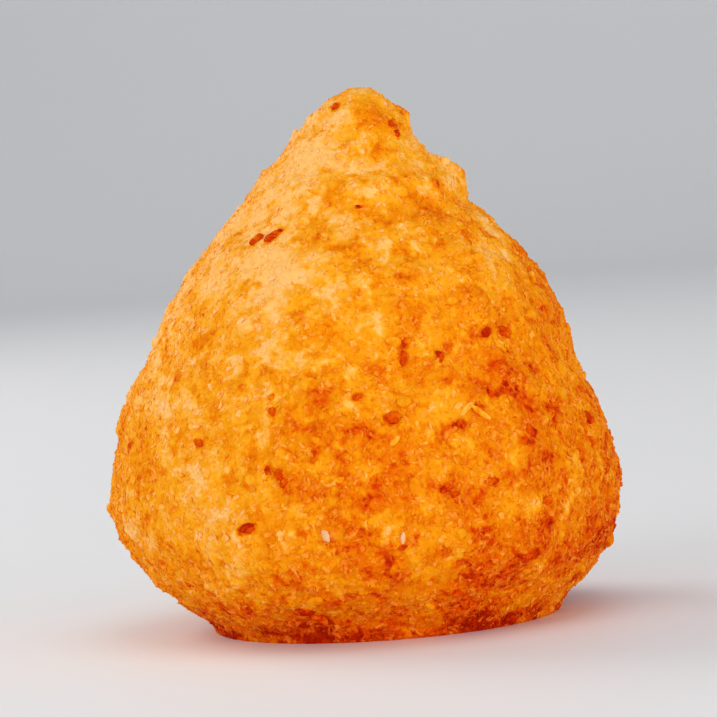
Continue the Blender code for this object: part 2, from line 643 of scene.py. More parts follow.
@dataclass(frozen=True)
class FriedFinish:
    """Fried crumb coat: coloured by its fry value, dull with a little oil, and pitted.

    Attributes:
        name: Name of the material.
        shades: Its shades, from the palest on.
        clusters: The scorched clusters, the pale ones, and the frizzled ridges.
        speck_size: Size of the grains that the coat is made of, in metres.
        speck_depth: How far the fry value of single grains goes up and down.
        oil_size: Size of the oily parts, in metres.
        oil_detail: How finely they are broken up.
        oily: The noise up to which a part is oily, and its roughness there.
        dry: The noise from which a part is dry, and its roughness there.
        shine: Strength of its highlights.
        pit_size: Size of the pits of the bump, in metres.
        pit_detail: How finely they are broken up.
        pit_depth: Depth of the pits, in metres.
        pit_strength: How much of that depth shows.
    """

    name: str
    shades: type[Enum] = Shade
    clusters: tuple[Clusters, ...] = (
        Clusters(2.4 * MM, 0.25, 0.50, 0.68, 0.0),
        Clusters(3.0 * MM, -0.24, 0.52, 0.70, 0.073),
        Clusters(1.1 * MM, -0.11, 0.40, 0.62, 0.039),
    )
    speck_size: float = 0.34 * MM
    speck_depth: float = 0.02
    oil_size: float = 4.0 * MM
    oil_detail: float = 4.0
    oily: tuple[float, float] = (0.35, 0.48)
    dry: tuple[float, float] = (0.65, 0.62)
    shine: float = 0.015
    pit_size: float = 0.35 * MM
    pit_detail: float = 2.0
    pit_depth: float = 0.04 * MM
    pit_strength: float = 0.8

    def material(self) -> bpy.types.Material:
        """Makes the material.

        Returns:
            The material, which reads Object coordinates and the piece's own attributes.
        """
        material = bpy.data.materials.new(self.name)
        material.use_nodes = True
        tree = material.node_tree
        bench = Bench(tree, tree.nodes.new("ShaderNodeTexCoord").outputs["Object"])
        shader = tree.nodes["Principled BSDF"]
        shader.inputs["Specular IOR Level"].default_value = self.shine
        tree.links.new(self._colour(bench), shader.inputs["Base Color"])
        tree.links.new(self._dryness(bench), shader.inputs["Roughness"])
        tree.links.new(self._pits(bench), shader.inputs["Normal"])
        return material

    def _colour(self, bench: Bench) -> bpy.types.NodeSocket:
        """Makes the colour: the shades, picked by the fry value.

        Args:
            bench: The material in the making.

        Returns:
            The socket with the colour.
        """
        colour = bench.node("ShaderNodeValToRGB", {"Fac": self._fry_value(bench)}, "Color")
        elements = colour.node.color_ramp.elements
        while len(elements) < len(self.shades):
            elements.new(0.5)
        for element, shade in zip(elements, self.shades):
            element.position, rgb = shade.value
            element.color = (*rgb, 1.0)
        return colour

    def _fry_value(self, bench: Bench) -> bpy.types.NodeSocket:
        """Adds up the fry value kept in the mesh, the crumb's own shade with its painted rim shade, and
        what is finer than the mesh.

        Args:
            bench: The material in the making.

        Returns:
            The socket with the sum.
        """
        total = bench.attribute(FRY_ATTRIBUTE)
        finer = [clusters.rise(bench) for clusters in self.clusters]
        for part in (bench.attribute(GRAIN_ATTRIBUTE), *finer, self._specks(bench)):
            total = bench.node("ShaderNodeMath", {0: total, 1: part}, "Value")
        return total

    def _specks(self, bench: Bench) -> bpy.types.NodeSocket:
        """Gives each grain that the coat is made of a fry value of its own.

        Args:
            bench: The material in the making.

        Returns:
            The socket with what the grains add.
        """
        cells = {"Vector": bench.place, "Scale": 1.0 / self.speck_size}
        chances = bench.node("ShaderNodeTexVoronoi", cells, "Color")
        chance = bench.node("ShaderNodeSeparateColor", {"Color": chances}, "Red")
        swing = {"Value": chance, "To Min": -self.speck_depth, "To Max": self.speck_depth}
        return bench.node("ShaderNodeMapRange", swing, "Result")

    def _dryness(self, bench: Bench) -> bpy.types.NodeSocket:
        """Varies the roughness between oily crumbs and dry ones.

        Args:
            bench: The material in the making.

        Returns:
            The socket with the roughness.
        """
        spread = {
            "Value": bench.noise(self.oil_size, self.oil_detail),
            "From Min": self.oily[0], "To Min": self.oily[1],
            "From Max": self.dry[0], "To Max": self.dry[1],
        }
        return bench.node("ShaderNodeMapRange", spread, "Result")

    def _pits(self, bench: Bench) -> bpy.types.NodeSocket:
        """Pits the surface more finely than the mesh can.

        Args:
            bench: The material in the making.

        Returns:
            The socket with the normal.
        """
        height = bench.noise(self.pit_size, self.pit_detail)
        bump = {"Height": height, "Strength": self.pit_strength, "Distance": self.pit_depth}
        return bench.node("ShaderNodeBump", bump, "Normal")


@dataclass(frozen=True)
class PlainFinish:
    """A plain studio surface of one colour.

    Attributes:
        name: Name of the material.
        colour: Its colour.
        roughness: Its roughness.
    """

    name: str
    colour: tuple[float, float, float]
    roughness: float

    def material(self) -> bpy.types.Material:
        """Makes the material.

        Returns:
            The material.
        """
        material = bpy.data.materials.new(self.name)
        material.use_nodes = True
        shader = material.node_tree.nodes["Principled BSDF"]
        shader.inputs["Base Color"].default_value = (*self.colour, 1.0)
        shader.inputs["Roughness"].default_value = self.roughness
        return material


@dataclass
class Crust:
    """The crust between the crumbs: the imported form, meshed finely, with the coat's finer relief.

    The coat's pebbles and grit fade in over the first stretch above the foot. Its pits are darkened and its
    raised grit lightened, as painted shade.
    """

    form: DropForm
    frying: Frying
    finish: FriedFinish
    cell: float = 0.425 * MM
    pebble_size: float = 1.25 * MM
    pebble_depth: float = 0.26 * MM
    pebble_middle: float = 0.42
    grit_size: float = 0.62 * MM
    grit_depth: float = 0.14 * MM
    sink: float = 0.18 * MM
    coat_full: float = 0.6 * MM
    # Painted shade: how much the fry value rises in the pits, and falls on the raised grit, per millimetre
    # of relief.
    pit_painted_shade: float = 0.45

    def build(self) -> bpy.types.Object:
        """Builds and dresses the crust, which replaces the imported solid.

        Returns:
            The crust.
        """
        crust = self.form.turned("crust", self.cell)
        mesh = crust.data
        moves = []
        fry = np.empty(len(mesh.vertices))
        for i, vertex in enumerate(mesh.vertices):
            coat = self._coat_rise(vertex.co)
            moves.append(vertex.normal * (self.form.relief(vertex.co) + coat))
            # Painted shade: the pits of the coat are made darker and its raised grit paler.
            fry[i] = self.frying.at(vertex.co) - coat / MM * self.pit_painted_shade
        for vertex, move in zip(mesh.vertices, moves):
            vertex.co += move
            if vertex.co.z < self.form.foot_band:
                vertex.co.z = 0.0
        keep_inside(mesh)
        store_tones(mesh, fry)
        dress(crust, self.finish.material())
        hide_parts(NODE)
        return crust

    def _coat_rise(self, point: Vector) -> float:
        """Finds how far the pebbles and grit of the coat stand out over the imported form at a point.

        Args:
            point: A point of the smooth drop.

        Returns:
            The distance along the normal, in metres.
        """
        pebbles = (self.pebble_middle - noise.voronoi(point / self.pebble_size)[0][0]) * self.pebble_depth
        grit = noise.noise(point / self.grit_size) * self.grit_depth
        return (pebbles + grit - self.sink) * smooth_step(point.z / self.coat_full)


class CrumbShape(Enum):
    """Shapes that crumbs break into."""

    CHIP = "chip"
    FLAKE = "flake"
    SHRED = "shred"


# Proportions of a crumb, which is modelled about one unit long, wide and thick.
CHIP_SIDE = 0.8
CHIP_JITTER = 0.18
PLATE_JITTER = 0.10
PLATE_CUT = 0.18
PLATE_TAPER = 0.9
PLATE_LEVEL = 0.1
UNIT_HALF = 0.5
CURLS = {CrumbShape.FLAKE: (-1.6, 2.2), CrumbShape.SHRED: (-0.8, 1.2)}
BENDS = {CrumbShape.FLAKE: (-0.3, 0.3), CrumbShape.SHRED: (-2.8, 2.8)}


def model_crumb(shape: CrumbShape, draw: np.random.Generator) -> bmesh.types.BMesh:
    """Models one crumb with uneven corners, about one unit long, wide and thick.

    Args:
        shape: What it looks like.
        draw: The random numbers.

    Returns:
        A new bmesh with the crumb.
    """
    bm = bmesh.new()
    if shape is CrumbShape.CHIP:
        jitter = CHIP_JITTER
        bmesh.ops.create_cube(bm, size=CHIP_SIDE)
    else:
        jitter = PLATE_JITTER
        model_plate(bm, curl=draw.uniform(*CURLS[shape]), bend=draw.uniform(*BENDS[shape]))
    for vertex in bm.verts:
        vertex.co += Vector(draw.uniform(-jitter, jitter, 3))
    return bm


def model_plate(bm: bmesh.types.BMesh, curl: float, bend: float) -> None:
    """Models a thin plate, which narrows to its ends.

    Args:
        bm: An empty bmesh.
        curl: How far its ends rise out of the skin.
        bend: How far its ends turn aside in the skin.
    """
    bmesh.ops.create_cube(bm, size=1.0)
    for cut in (-PLATE_CUT, PLATE_CUT):
        whole = bm.verts[:] + bm.edges[:] + bm.faces[:]
        bmesh.ops.bisect_plane(bm, geom=whole, plane_co=(cut, 0.0, 0.0), plane_no=(1.0, 0.0, 0.0))
    for vertex in bm.verts:
        vertex.co.y *= 1.0 - PLATE_TAPER * abs(vertex.co.x)
        vertex.co.y += bend * (vertex.co.x**2 - PLATE_LEVEL)
        vertex.co.z += curl * (vertex.co.x**2 - PLATE_LEVEL)


@dataclass(frozen=True)
class CrumbKind:
    """One kind of crumb of the coat.

    Attributes:
        name: Name of the piece that all crumbs of the kind make up.
        shape: What the crumbs look like.
        count: How many there are.
        length: Shortest and longest, in metres.
        shade: What is added to the fry value, at the least and at the most.
        width: Narrowest and widest, as shares of the length.
        thickness: Thinnest and thickest, as shares of the length.
        tilt: How far they may tilt out of the skin, in degrees.
        lift: How far their middle stands over the skin, as shares of the thickness.
        likes: How strongly they gather where the crust is browned, or pale if negative.
        own_tone: The fry value that they would have on their own.
        own_share: How much of that they keep, against the fry value of the crust where they lie.
        dry: Whether they took up less oil than the rest, and take the pinker shades that are partly painted
            sheen.
    """

    name: str
    shape: CrumbShape
    count: int
    length: tuple[float, float]
    shade: tuple[float, float]
    width: tuple[float, float] = (0.60, 1.00)
    thickness: tuple[float, float] = (0.26, 0.50)
    tilt: float = 30.0
    lift: tuple[float, float] = (-0.40, 0.00)
    likes: float = 0.0
    own_tone: float = 0.0
    own_share: float = 0.0
    dry: bool = False


@dataclass
class CrumbCoat:
    """The loose crumbs of the coat, scattered over the crust, one piece for each kind.

    None lies where the crust is lower than the lowest. They are coarser at the foot and finer at the tip.
    The smallness makes small ones more common, and the painted rim shade darkens each crumb towards its
    lower edge, where it meets the crust.
    """

    crust: bpy.types.Object
    finish: FriedFinish
    dry_and_sheen_finish: FriedFinish
    lowest: float = 0.20 * MM
    coarse_at_foot: float = 1.12
    fine_at_tip: float = 0.80
    smallness: float = 1.8
    # Painted shade: how much darker a crumb is made towards its lower edge, per unit of its thickness.
    rim_painted_shade: float = 0.15
    middle_fry: float = 0.42
    prototypes: int = 24
    seed: int = 17
    kinds: tuple[CrumbKind, ...] = (
        CrumbKind("golden_crumbs", CrumbShape.CHIP, 16000, (0.32 * MM, 0.80 * MM), (-0.04, 0.03)),
        CrumbKind(
            "pale_crumbs", CrumbShape.CHIP, 14000, (0.30 * MM, 0.76 * MM), (-0.10, 0.00),
            lift=(-0.40, 0.02), likes=-0.5,
        ),
        CrumbKind(
            "deep_crumbs", CrumbShape.CHIP, 14000, (0.32 * MM, 0.80 * MM), (-0.01, 0.08), likes=1.5
        ),
        CrumbKind(
            "browned_crumbs", CrumbShape.CHIP, 5000, (0.30 * MM, 0.80 * MM), (0.05, 0.17),
            width=(0.50, 0.95), tilt=28.0, likes=4.5,
        ),
        # The pinker shades of these crumbs, flakes and shreds are partly painted sheen.
        CrumbKind(
            "dry_and_sheen_crumbs", CrumbShape.CHIP, 2600, (0.40 * MM, 0.90 * MM), (-0.16, -0.04),
            tilt=28.0, lift=(-0.35, 0.05), own_tone=0.25, own_share=0.10, dry=True,
        ),
        CrumbKind(
            "flakes", CrumbShape.FLAKE, 4500, (0.45 * MM, 1.05 * MM), (-0.10, 0.02),
            (0.40, 0.80), (0.16, 0.28), 24.0, (-0.35, 0.20), likes=0.5,
            own_tone=0.32, own_share=0.10, dry=True,
        ),
        CrumbKind(
            "shreds", CrumbShape.SHRED, 2500, (0.45 * MM, 1.10 * MM), (-0.13, 0.00),
            (0.26, 0.42), (0.16, 0.28), 20.0, (-0.30, 0.25), likes=1.5,
            own_tone=0.28, own_share=0.10, dry=True,
        ),
    )

    def build(self) -> list[bpy.types.Object]:
        """Builds and dresses every kind of crumb.

        Returns:
            The pieces.
        """
        material = self.finish.material()
        dry_and_sheen_material = self.dry_and_sheen_finish.material()
        pieces = []
        for number, kind in enumerate(self.kinds):
            piece = self._scatter(kind, np.random.default_rng(self.seed + number))
            dress(piece, dry_and_sheen_material if kind.dry else material)
            pieces.append(piece)
        return pieces

    def _scatter(self, kind: CrumbKind, draw: np.random.Generator) -> bpy.types.Object:
        """Scatters the crumbs of one kind over the crust as one mesh.

        Args:
            kind: The kind.
            draw: The random numbers.

        Returns:
            The piece.
        """
        shapes, faces = self._prototypes(kind.shape, draw)
        centre, outward, fry = self._places(kind, draw)
        shortest, longest = kind.length
        length = shortest + (longest - shortest) * draw.random(kind.count) ** self.smallness
        length *= np.interp(centre[:, 2], (0.0, cad_high[2]), (self.coarse_at_foot, self.fine_at_tip))
        width = length * draw.uniform(*kind.width, kind.count)
        thick = length * draw.uniform(*kind.thickness, kind.count)
        centre = centre + outward * (thick * draw.uniform(*kind.lift, kind.count))[:, None]
        tilt = draw.uniform(0.0, math.radians(kind.tilt), kind.count)
        frames = self._frames(outward, tilt, draw)
        picked = shapes[draw.integers(len(shapes), size=kind.count)]
        local = picked * np.stack((length, width, thick), 1)[:, None]
        points = np.einsum("nij,npj->npi", frames, local) + centre[:, None]
        back = np.maximum(np.array(cad_low) - points.min(1), 0.0)
        back += np.minimum(np.array(cad_high) - points.max(1), 0.0)
        points += back[:, None]
        # Painted shade: each crumb is made darker towards its lower edge, where shade falls between it and
        # the crust.
        below_the_top = UNIT_HALF - picked[:, :, 2]
        own = draw.uniform(*kind.shade, kind.count)[:, None] + self.rim_painted_shade * below_the_top
        fry += (kind.own_tone - fry) * kind.own_share
        mesh = joined_mesh(kind.name, points, faces)
        store_tones(mesh, np.repeat(fry, shapes.shape[1]), own.reshape(-1))
        return put_in_scene(kind.name, mesh)

    def _prototypes(self, shape: CrumbShape, draw: np.random.Generator) -> tuple[np.ndarray, np.ndarray]:
        """Models the shapes that the crumbs repeat, each about one unit long, wide and thick.

        Args:
            shape: What they look like.
            draw: The random numbers.

        Returns:
            Their points, one array for each shape, and the triangles, which all of them share.
        """
        shapes = []
        faces = np.empty(0)
        for _ in range(self.prototypes):
            bm = model_crumb(shape, draw)
            bmesh.ops.triangulate(bm, faces=bm.faces)
            bm.verts.index_update()
            shapes.append([vertex.co[:] for vertex in bm.verts])
            faces = np.array([[vertex.index for vertex in face.verts] for face in bm.faces])
            bm.free()
        return np.array(shapes), faces

    def _places(
        self, kind: CrumbKind, draw: np.random.Generator
    ) -> tuple[np.ndarray, np.ndarray, np.ndarray]:
        """Picks random places on the crust for the crumbs of a kind.

        Args:
            kind: The kind.
            draw: The random numbers.

        Returns:
            The places, the directions out of the crust there, and the fry values there.
        """
        mesh = self.crust.data
        mesh.calc_loop_triangles()
        triangles = read_rows(mesh.loop_triangles, "vertices", 3, np.int32)
        points = read_rows(mesh.vertices, "co", 3, np.float64)
        normals = read_rows(mesh.vertex_normals, "vector", 3)
        fry = read_rows(mesh.attributes[FRY_ATTRIBUTE].data, "value", 1)
        corners = points[triangles]
        sides = corners[:, 1:] - corners[:, :1]
        area = np.linalg.norm(np.cross(sides[:, 0], sides[:, 1]), axis=1)
        weight = area * np.exp(kind.likes * (fry[triangles].mean(1) - self.middle_fry))
        weight[corners[:, :, 2].max(1) < self.lowest] = 0.0
        chosen = triangles[draw.choice(len(triangles), kind.count, p=weight / weight.sum())]
        shares = draw.dirichlet((1.0, 1.0, 1.0), kind.count)
        places = np.einsum("nc,ncj->nj", shares, points[chosen])
        outward = np.einsum("nc,ncj->nj", shares, normals[chosen])
        outward /= np.linalg.norm(outward, axis=1)[:, None]
        return places, outward, np.einsum("nc,nc->n", shares, fry[chosen])

    @staticmethod
    def _frames(outward: np.ndarray, tilt: np.ndarray, draw: np.random.Generator) -> np.ndarray:
        """Turns each crumb at random on the skin and tilts it out of it.

        Args:
            outward: The directions out of the crust.
            tilt: How far each crumb tilts, in radians.
            draw: The random numbers.

        Returns:
            A rotation matrix for each crumb.
        """
        along = draw.normal(size=outward.shape)
        along -= outward * np.einsum("nj,nj->n", along, outward)[:, None]
        along /= np.linalg.norm(along, axis=1)[:, None]
        across = np.cross(outward, along)
        turn, rise = np.cos(tilt)[:, None], np.sin(tilt)[:, None]
        return np.stack((along * turn + outward * rise, across, outward * turn - along * rise), 2)


def joined_mesh(name: str, points: np.ndarray, faces: np.ndarray) -> bpy.types.Mesh:
    """Joins many small shapes with the same triangles into one mesh, shaded flat.

    Args:
        name: Name of the mesh.
        points: The points of each shape.
        faces: The triangles of one shape.

    Returns:
        The mesh.
    """
    count, per_shape = points.shape[:2]
    corners = (faces[None] + (np.arange(count) * per_shape)[:, None, None]).reshape(-1)
    mesh = bpy.data.meshes.new(name)
    mesh.vertices.add(count * per_shape)
    mesh.vertices.foreach_set("co", points.astype(np.float32).reshape(-1))
    mesh.loops.add(len(corners))
    mesh.loops.foreach_set("vertex_index", corners.astype(np.int32))
    mesh.polygons.add(len(corners) // 3)
    mesh.polygons.foreach_set("loop_start", np.arange(0, len(corners), 3, dtype=np.int32))
    mesh.update(calc_edges=True)
    mesh.validate()
    mesh.shade_flat()
    return mesh


@dataclass
class LargeCrumbs:
    """The largest crumbs of the coat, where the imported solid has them, broken more finely."""

    form: DropForm
    frying: Frying
    crust: bpy.types.Object
    finish: FriedFinish
    count: int = 130
    length: tuple[float, float] = (1.1 * MM, 2.4 * MM)
    width_share: tuple[float, float] = (0.55, 0.85)
    thickness_share: tuple[float, float] = (0.35, 0.55)
    jitter: float = 0.20
    tilt: float = math.radians(24.0)
    sink_share: float = 0.10
    lowest: float = 2.4 * MM
    golden_turn: float = math.pi * (3.0 - math.sqrt(5.0))
    golden_jitter: float = 0.12
    seed: int = 19
    rounding: float = 0.6
    crag_size: float = 0.9 * MM
    crag_depth: float = 0.16 * MM

    def build(self) -> bpy.types.Object:
        """Builds and dresses the large crumbs as one piece.

        Returns:
            The piece.
        """
        draw = random.Random(self.seed)
        whole = bmesh.new()
        for near in self._spread_evenly():
            _, point, outward, _ = self.crust.closest_point_on_mesh(near)
            if point.z > self.lowest:
                self._add_crumb(whole, draw, point, outward)
        bmesh.ops.recalc_face_normals(whole, faces=whole.faces)
        piece = mesh_object("large_crumbs", whole)
        keep_inside(piece.data)
        fry = np.array([self.frying.at(vertex.co) for vertex in piece.data.vertices])
        store_tones(piece.data, fry)
        dress(piece, self.finish.material())
        return piece

    def _spread_evenly(self) -> Iterator[Vector]:
        """Spreads points evenly over the smooth skin, on a golden spiral from foot to tip.

        Yields:
            The points.
        """
        draw = random.Random(self.seed)
        line = self.form.line()
        areas = [0.0]
        for a, b in zip(line, line[1:]):
            areas.append(areas[-1] + math.hypot(b.x - a.x, b.z - a.z) * (a.x + b.x) * math.pi)
        ring = 0
        for i in range(self.count):
            wanted = areas[-1] * (i + 0.5) / self.count
            while areas[ring + 1] < wanted:
                ring += 1
            share = (wanted - areas[ring]) / (areas[ring + 1] - areas[ring])
            at = line[ring].lerp(line[ring + 1], share)
            turn = i * self.golden_turn + draw.uniform(-self.golden_jitter, self.golden_jitter)
            yield Vector((at.x * math.cos(turn) + at.y, at.x * math.sin(turn), at.z))

    def _add_crumb(
        self, whole: bmesh.types.BMesh, draw: random.Random, point: Vector, outward: Vector
    ) -> None:
        """Adds one large crumb, with the size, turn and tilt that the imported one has.

        Args:
            whole: The bmesh of all large crumbs.
            draw: The random numbers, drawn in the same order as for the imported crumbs.
            point: Its place on the crust.
            outward: The direction out of the crust.
        """
        length = draw.uniform(*self.length)
        width = length * draw.uniform(*self.width_share)
        thickness = length * draw.uniform(*self.thickness_share)
        bm = bmesh.new()
        bmesh.ops.create_icosphere(bm, subdivisions=1, radius=UNIT_HALF)
        for vertex in bm.verts:
            vertex.co *= 1.0 + draw.uniform(-self.jitter, self.jitter)
        bmesh.ops.scale(bm, vec=(length, width, thickness), verts=bm.verts)
        tilt = Matrix.Rotation(draw.uniform(-self.tilt, self.tilt), 4, "Y")
        spin = Matrix.Rotation(draw.uniform(0.0, math.tau), 4, "Z")
        lie = outward.to_track_quat("Z", "Y").to_matrix().to_4x4()
        centre = Matrix.Translation(point - outward * thickness * self.sink_share)
        bmesh.ops.transform(bm, matrix=centre @ lie @ spin @ tilt, verts=bm.verts)
        bmesh.ops.subdivide_edges(
            bm, edges=bm.edges[:], cuts=2, use_grid_fill=True, smooth=self.rounding
        )
        roughen(bm, self.crag_size, self.crag_depth)
        pour(bm, whole)


@dataclass(frozen=True)
class SoftLight:
    """A soft light that faces the coxinha.

    Attributes:
        name: Its name.
        place: Where it hangs.
        sides: Its width and height.
        power: Its power, in watts.
        colour: Its colour.
    """

    name: str
    place: tuple[float, float, float]
    sides: tuple[float, float]
    power: float
    colour: tuple[float, float, float]


@dataclass
class Studio:
    """Plain pale floor and backdrop, soft lights, and a camera where the photographer's was."""

    aim: tuple[float, float, float] = (-0.64 * MM, 0.0, 31.70 * MM)
    distance: float = 450.0 * MM
    elevation: float = math.radians(3.2)
    roll: float = math.radians(4.2)
    focal_pixels: float = 3724.5
    floor_front: float = -1.2
    floor_back: float = 1.1
    wall_radius: float = 0.35
    wall_height: float = 1.2
    wall_width: float = 4.0
    wall_steps: int = 24
    floor_finish: PlainFinish = PlainFinish("pale_floor", (0.89, 0.90, 0.915), 0.6)
    lights: tuple[SoftLight, ...] = (
        SoftLight("key_light", (-0.60, -0.58, 0.32), (0.60, 0.50), 2.35, (1.0, 0.97, 0.93)),
        SoftLight("rim_light", (-0.60, 0.50, 0.50), (0.50, 0.50), 3.0, (1.0, 0.96, 0.92)),
        SoftLight("top_light", (0.10, -0.12, 0.78), (0.50, 0.50), 0.9, (1.0, 0.98, 0.97)),
        SoftLight("fill_light", (0.72, -0.50, 0.08), (0.50, 0.24), 3.0, (1.0, 0.98, 0.96)),
        SoftLight("front_light", (0.10, -0.88, 0.06), (0.90, 0.26), 2.5, (1.0, 0.98, 0.96)),
    )
    room_colour: tuple[float, float, float] = (0.96, 0.97, 1.0)
    room_strength: float = 0.42
    clip_start: float = 0.01

    def axes(self) -> tuple[Vector, Vector, Vector]:
        """Works out the camera's directions.

        Returns:
            The picture's right, the picture's up, and the way that the camera looks.
        """
        level_right = Vector((1.0, 0.0, 0.0))
        level_up = Vector((0.0, math.sin(self.elevation), math.cos(self.elevation)))
        right = level_right * math.cos(self.roll) - level_up * math.sin(self.roll)
        up = level_right * math.sin(self.roll) + level_up * math.cos(self.roll)
        ahead = Vector((0.0, math.cos(self.elevation), -math.sin(self.elevation)))
        return right, up, ahead

    def ray(self, pixel: tuple[float, float]) -> tuple[Vector, Vector]:
        """Finds the line of sight through a pixel of the photograph.

        Args:
            pixel: The pixel, counted from the photograph's top left corner.

        Returns:
            The camera's place, and the direction of the line.
        """
        right, up, ahead = self.axes()
        across = (pixel[0] - IMAGE_SIDE / 2) / self.focal_pixels
        rise = (IMAGE_SIDE / 2 - pixel[1]) / self.focal_pixels
        return self.eye(), (ahead + right * across + up * rise).normalized()

    def eye(self) -> Vector:
        """Works out where the camera is."""
        return Vector(self.aim) - self.axes()[2] * self.distance

    def build(self) -> None:
        """Builds the camera, the floor, the lights and the background."""
        self._camera()
        self._floor()
        for light in self.lights:
            self._hang(light)
        world = bpy.data.worlds.new("pale_room")
        world.use_nodes = True
        room = world.node_tree.nodes["Background"]
        room.inputs["Color"].default_value = (*self.room_colour, 1.0)
        room.inputs["Strength"].default_value = self.room_strength
        bpy.context.scene.world = world
        bpy.context.scene.view_settings.view_transform = "Standard"

    def _camera(self) -> None:
        """Places the camera at the photograph's distance, height and roll."""
        right, up, ahead = self.axes()
        data = bpy.data.cameras.new("camera")
        data.sensor_width = SENSOR_WIDTH
        data.lens = self.focal_pixels / IMAGE_SIDE * SENSOR_WIDTH
        data.clip_start = self.clip_start
        camera = put_in_scene("camera", data)
        turn = Matrix((right, up, -ahead)).transposed().to_4x4()
        camera.matrix_world = Matrix.Translation(self.eye()) @ turn
        bpy.context.scene.camera = camera

    def _floor(self) -> None:
        """Sweeps the floor up into a backdrop behind the coxinha."""
        bm = bmesh.new()
        path = [(self.floor_front, 0.0), (self.floor_back, 0.0)]
        for step in range(1, self.wall_steps + 1):
            angle = step / self.wall_steps * math.pi / 2
            out = self.floor_back + math.sin(angle) * self.wall_radius
            path.append((out, (1.0 - math.cos(angle)) * self.wall_radius))
        path.append((out, self.wall_height))
        verts = [bm.verts.new((-self.wall_width / 2, y, z)) for y, z in path]
        edges = [bm.edges.new(pair) for pair in zip(verts, verts[1:])]
        swept = bmesh.ops.extrude_edge_only(bm, edges=edges)["geom"]
        moved = [item for item in swept if isinstance(item, bmesh.types.BMVert)]
        bmesh.ops.translate(bm, vec=(self.wall_width, 0.0, 0.0), verts=moved)
        bmesh.ops.recalc_face_normals(bm, faces=bm.faces)
        floor = mesh_object("floor", bm, smooth=True)
        floor.data.materials.append(self.floor_finish.material())

    def _hang(self, light: SoftLight) -> None:
        """Hangs a light so that it faces the coxinha.

        Args:
            light: The light.
        """
        data = bpy.data.lights.new(light.name, "AREA")
        data.shape = "RECTANGLE"
        data.size, data.size_y = light.sides
        data.energy = light.power
        data.color = light.colour
        lamp = put_in_scene(light.name, data)
        lamp.location = light.place
        lamp.rotation_euler = (Vector(self.aim) - lamp.location).to_track_quat("-Z", "Y").to_euler()


class FleckTone(Enum):
    """How dark a fleck is, as its fry value."""

    REDDISH = 0.83
    DARK = 0.88
    BURNT = 1.00
    PALE = 0.26
    BARE = 0.25


@dataclass(frozen=True)
class Fleck:
    """One bit of the coat that stands out in the photograph.

    Attributes:
        pixel: Where its middle is in the photograph.
        length: Its length, in metres.
        width: Its width, in metres.
        heading: Degrees from the picture's right towards its up.
        tone: How dark it is.
        shape: What it looks like.
    """

    pixel: tuple[float, float]
    length: float
    width: float
    heading: float
    tone: FleckTone = FleckTone.DARK
    shape: CrumbShape = CrumbShape.CHIP


